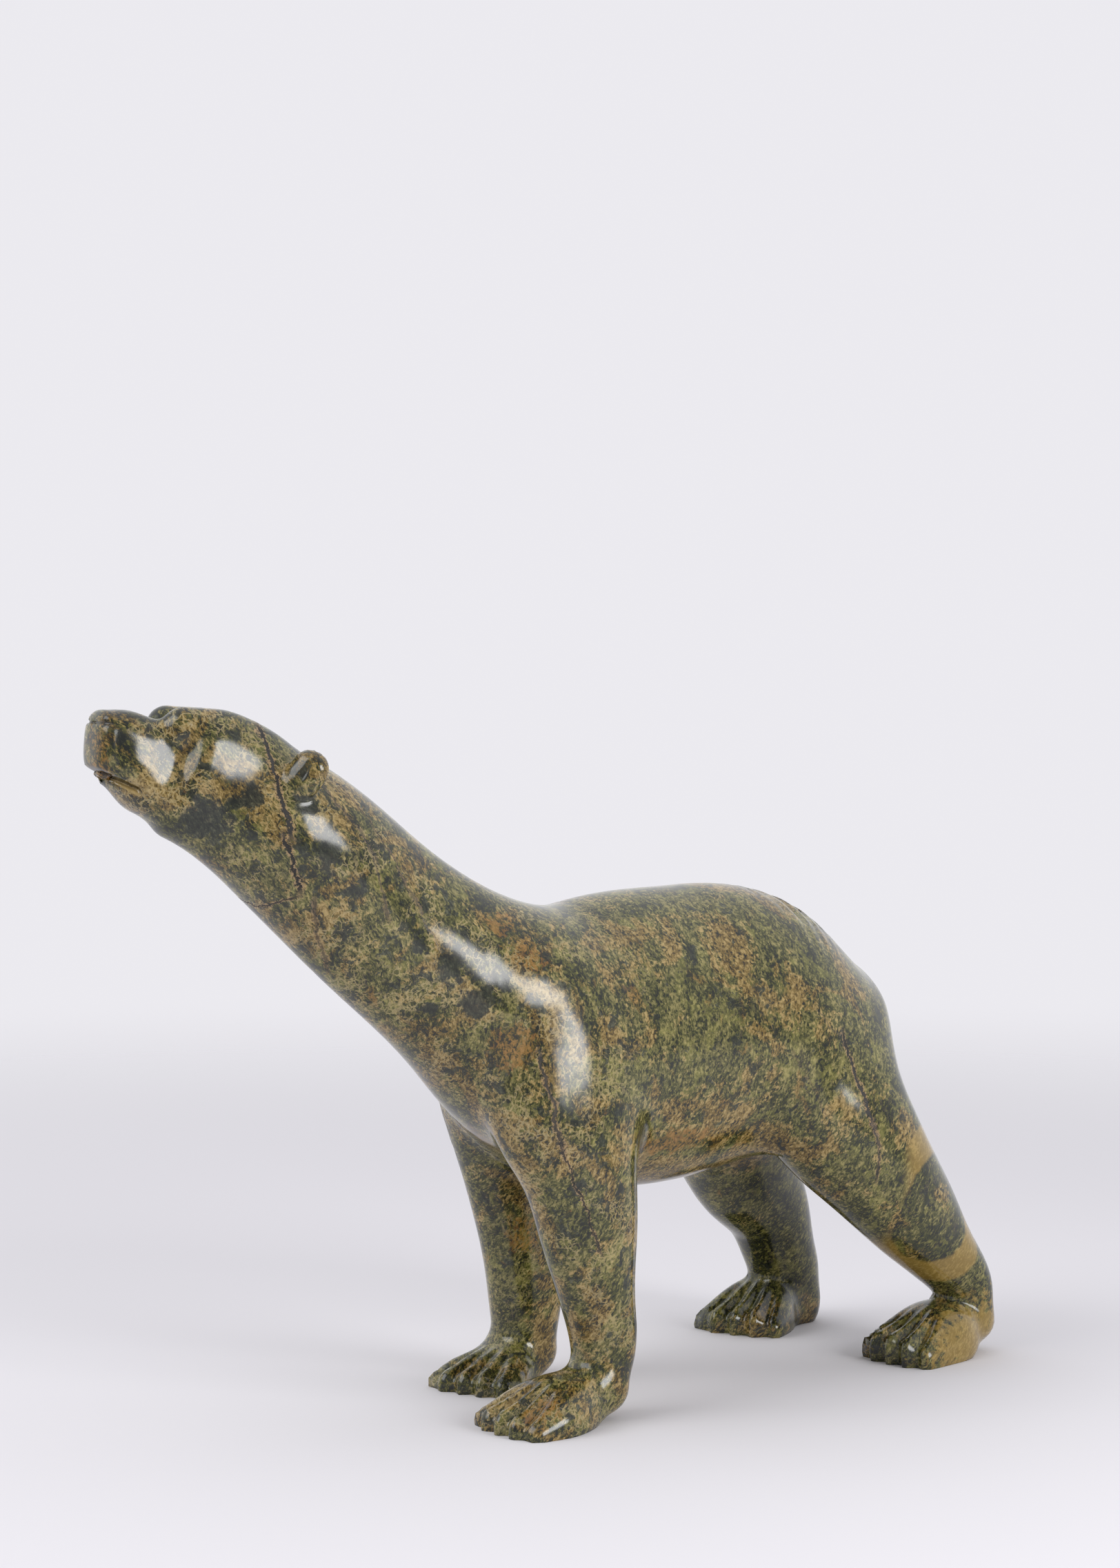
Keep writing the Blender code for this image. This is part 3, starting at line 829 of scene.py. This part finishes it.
    net = stone.cells(torn, 3.2)
    net_patches = stone.between(stone.noise(drifted, 18, 3, 0.6), 0.49, 0.58, 0.0, 0.6)
    net_patches = stone.number("MULTIPLY", net_patches, stone.number("MULTIPLY_ADD", front, 0.8, 0.2))
    net = stone.number("MULTIPLY", stone.between(net, 0.02, 0.11, 1.0, 0.0), net_patches)
    colour = stone.mix(net, colour, NET)

    ragged = stone.number("SUBTRACT", stone.noise(where, 3.5, 4, 0.7), 0.5)
    blotch = stone.noise(torn, 8, 4, 0.66, 0.4)
    blotch = stone.number("MULTIPLY_ADD", stone.number("SUBTRACT", speckle, 0.5), 0.30, blotch)
    blotch = stone.number("MULTIPLY_ADD", stone.number("SUBTRACT", flecks, 0.5), 0.05, blotch)
    blotch = stone.number("MULTIPLY_ADD", front, 0.045, blotch)
    blotch = stone.between(blotch, 0.615, 0.64, 0.0, 0.94)
    # Dark blotches of the stone; the spot at the base of the left ear is also painted shade.
    spots = any_patch(stone, torn, ragged, INK_AND_SHADE_SPOTS)
    blotch = stone.number("MAXIMUM", blotch, stone.number("MULTIPLY", spots, 0.93))
    dark = stone.shades(tone, (0.42, BLUE_BLACK), (0.56, SLATE), (0.68, SLATE_LIGHT))
    colour = stone.mix(blotch, colour, dark)

    rust = stone.noise(stone.vector("SCALE", drifted, 1.3), 21, 5, 0.66, 0.6)
    rust = stone.between(rust, 0.63, 0.70, 0.0, 0.6)
    spots = stone.number("MULTIPLY", any_patch(stone, torn, ragged, RUST_SPOTS), 0.8)
    rust = stone.number("MAXIMUM", rust, spots)
    rust = stone.number("MULTIPLY", rust, stone.between(tone, 0.44, 0.54, 0.05, 0.8))
    colour = stone.mix(rust, colour, RUST)

    # Rings of dark green and a mustard band round the left hind ankle, and that paw's mustard side.
    left = stone.between(y, -26.0, -18.0, 1.0, 0.0)
    left = stone.number("MULTIPLY", left, stone.between(x, 196.0, 206.0))
    reach = stone.vector("LENGTH", stone.vector("SUBTRACT", rippled, SWIRL), (0.0, 0.0, 0.0))
    ring = stone.number("SINE", stone.number("MULTIPLY", reach, 1.15))
    ring = stone.between(ring, 0.0, 0.9, 0.0, 0.6)
    ring = stone.number("MULTIPLY", ring, stone.between(reach, 21, 23, 1.0, 0.0))
    ring = stone.number("MULTIPLY", ring, stone.between(reach, 7, 12))
    colour = stone.mix(stone.number("MULTIPLY", ring, left), colour, DEEP_MOSS)
    band = stone.between(reach, 22.5, 24.5)
    band = stone.number("MULTIPLY", band, stone.between(reach, 35, 37, 1.0, 0.0))
    side = patch(stone, rippled, ragged, MUSTARD_PAW)
    band = stone.number("MAXIMUM", band, side)
    mustard = stone.mix(stone.between(tone, 0.38, 0.62), OCHRE_DARK, PALE_OCHRE_AND_LIP_HIGHLIGHT)
    mustard = stone.mix(0.6, mustard, MUSTARD)
    band = stone.number("MULTIPLY", stone.number("MULTIPLY", band, left), 0.88)
    colour = stone.mix(band, colour, mustard)

    wander = stone.number("SUBTRACT", stone.noise(where, 11, 5, 0.7), 0.5)
    grains = stone.noise(where, 1.0, 2, 0.7)
    crumbs = stone.between(tone, 0.44, 0.50)
    pits = 0.0
    for row in VEINS:
        core, edge = vein(stone, where, wander, grains, row)
        edge = stone.number("MULTIPLY", edge, crumbs)
        colour = stone.mix(edge, colour, CRACK_EDGE)
        colour = stone.mix(core, colour, CRACK_AND_GROOVE_SHADE)
        pits = stone.number("MAXIMUM", pits, core)

    groove_shade, lip_highlight = face_lines(stone, where)
    # Painted highlight on the lip under the mouth, in pale ochre.
    colour = stone.mix(lip_highlight, colour, PALE_OCHRE_AND_LIP_HIGHLIGHT)
    # Painted shade in the mouth and the nostril slits.
    colour = stone.mix(groove_shade, colour, CRACK_AND_GROOVE_SHADE)
    stone.put(colour, stone.shader.inputs["Base Color"])
    stone.shader.inputs["Metallic"].default_value = 0.0
    stone.shader.inputs["IOR"].default_value = 1.56
    rubbed = stone.between(stone.noise(where, 26, 4, 0.6), 0.35, 0.7, 0.13, 0.21)
    stone.put(stone.number("MULTIPLY_ADD", pits, 0.4, rubbed), stone.shader.inputs["Roughness"])

    relief = stone.number("MULTIPLY", stone.noise(where, 14, 2, 0.5), 0.16)
    relief = stone.number("MULTIPLY_ADD", speckle, 0.012, relief)
    relief = stone.number("MULTIPLY_ADD", pits, -0.25, relief)
    bump = stone.nodes.new("ShaderNodeBump")
    bump.inputs["Strength"].default_value = 1.0
    bump.inputs["Distance"].default_value = MILLIMETRE
    stone.put(relief, bump.inputs["Height"])
    stone.put(bump.outputs[0], stone.shader.inputs["Normal"])
    return stone.material


def bear_of_stone():
    bear = rough_skin(SKIN_CELL)
    carve(bear)
    shift = stand(bear)
    bear.data.shade_smooth()
    bear.data.materials.clear()
    bear.data.materials.append(serpentine(shift))
    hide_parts("polar_bear")
    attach(bear, "root")
    return bear


FLOOR_RADIUS = 2.2
FLOOR_FADE = (0.55, 1.5)
FLOOR_COLOUR = (0.72, 0.705, 0.735)


def studio_floor():
    """A pale floor that fades into the backdrop."""
    mesh = bmesh.new()
    bmesh.ops.create_circle(mesh, cap_ends=True, segments=96, radius=FLOOR_RADIUS)
    floor = bpy.data.objects.new("floor", bpy.data.meshes.new("floor"))
    mesh.to_mesh(floor.data)
    mesh.free()
    bpy.context.scene.collection.objects.link(floor)
    paint = Recipe("floor_paper")
    paint.shader.inputs["Base Color"].default_value = (*FLOOR_COLOUR, 1.0)
    paint.shader.inputs["Roughness"].default_value = 0.9
    paint.shader.inputs["Specular IOR Level"].default_value = 0.1
    away = paint.vector("LENGTH", paint.place((0.0, 0.0, 0.0), 1.0), (0.0, 0.0, 0.0))
    paint.put(paint.between(away, *FLOOR_FADE, 1.0, 0.0), paint.shader.inputs["Alpha"])
    floor.data.materials.append(paint.material)


BACKDROP = (0.835, 0.825, 0.865)


def studio_world():
    """An even pale backdrop; round the bear it is bright behind and overhead and dim in front."""
    world = bpy.data.worlds.new("studio")
    bpy.context.scene.world = world
    world.use_nodes = True
    nodes = world.node_tree.nodes
    links = world.node_tree.links
    nodes.clear()
    where = nodes.new("ShaderNodeTexCoord").outputs["Generated"]
    ahead = nodes.new("ShaderNodeVectorMath")
    ahead.operation = "DOT_PRODUCT"
    links.new(where, ahead.inputs[0])
    ahead.inputs[1].default_value = (0.64, 0.71, 0.30)
    level = nodes.new("ShaderNodeMapRange")
    level.interpolation_type = "SMOOTHSTEP"
    level.inputs["From Min"].default_value = -0.45
    level.inputs["From Max"].default_value = 0.55
    level.inputs["To Min"].default_value = 0.42
    level.inputs["To Max"].default_value = 1.0
    links.new(ahead.outputs["Value"], level.inputs["Value"])
    room = nodes.new("ShaderNodeBackground")
    room.inputs["Color"].default_value = (0.97, 0.97, 1.0, 1.0)
    links.new(level.outputs[0], room.inputs["Strength"])
    seen = nodes.new("ShaderNodeBackground")
    seen.inputs["Color"].default_value = (*BACKDROP, 1.0)
    either = nodes.new("ShaderNodeMixShader")
    links.new(nodes.new("ShaderNodeLightPath").outputs["Is Camera Ray"], either.inputs[0])
    links.new(room.outputs[0], either.inputs[1])
    links.new(seen.outputs[0], either.inputs[2])
    links.new(either.outputs[0], nodes.new("ShaderNodeOutputWorld").inputs["Surface"])


# Softboxes: (name, turn, rise, distance from the target, width, height, radiance).
SOFTBOXES = [
    ("side_softbox", 7.5, 17.3, 1.36, 0.52, 0.54, 9.2),
    ("shoulder_softbox", 22.3, 11.4, 1.37, 0.18, 0.28, 9.2),
    ("left_softbox", -105, 38, 1.7, 1.2, 1.2, 3.0),
]
SOFTBOX_TARGET = Vector((0.0, 0.0, 0.14))


def softbox(name, turn, rise, away, width, height, radiance):
    """A softbox seen from its target at turn degrees from -Y towards +X and rise degrees up."""
    turn, rise = math.radians(turn), math.radians(rise)
    way = Vector((math.sin(turn) * math.cos(rise), -math.cos(turn) * math.cos(rise), math.sin(rise)))
    light = bpy.data.lights.new(name, "AREA")
    light.shape = "RECTANGLE"
    light.size = width
    light.size_y = height
    light.energy = radiance * math.pi * width * height
    lamp = bpy.data.objects.new(name, light)
    lamp.location = SOFTBOX_TARGET + away * way
    lamp.rotation_euler = (-way).to_track_quat("-Z", "Y").to_euler()
    lamp.visible_camera = False
    bpy.context.scene.collection.objects.link(lamp)


CAMERA_PLACE = (-0.9847, -1.0988, 0.3248)
CAMERA_TURN = 42.0
CAMERA_DIP = 3.0
CAMERA_LENS = 85.0


def studio_camera():
    lens = bpy.data.cameras.new("camera")
    lens.sensor_fit = "VERTICAL"
    lens.sensor_height = 36.0
    lens.lens = CAMERA_LENS
    camera = bpy.data.objects.new("camera", lens)
    camera.location = CAMERA_PLACE
    camera.rotation_euler = (math.radians(90 - CAMERA_DIP), 0.0, math.radians(-CAMERA_TURN))
    bpy.context.scene.collection.objects.link(camera)
    bpy.context.scene.camera = camera


bear = bear_of_stone()
studio_floor()
studio_world()
for row in SOFTBOXES:
    softbox(*row)
studio_camera()
bpy.context.scene.view_settings.view_transform = "Standard"
bpy.context.scene.view_settings.look = "None"
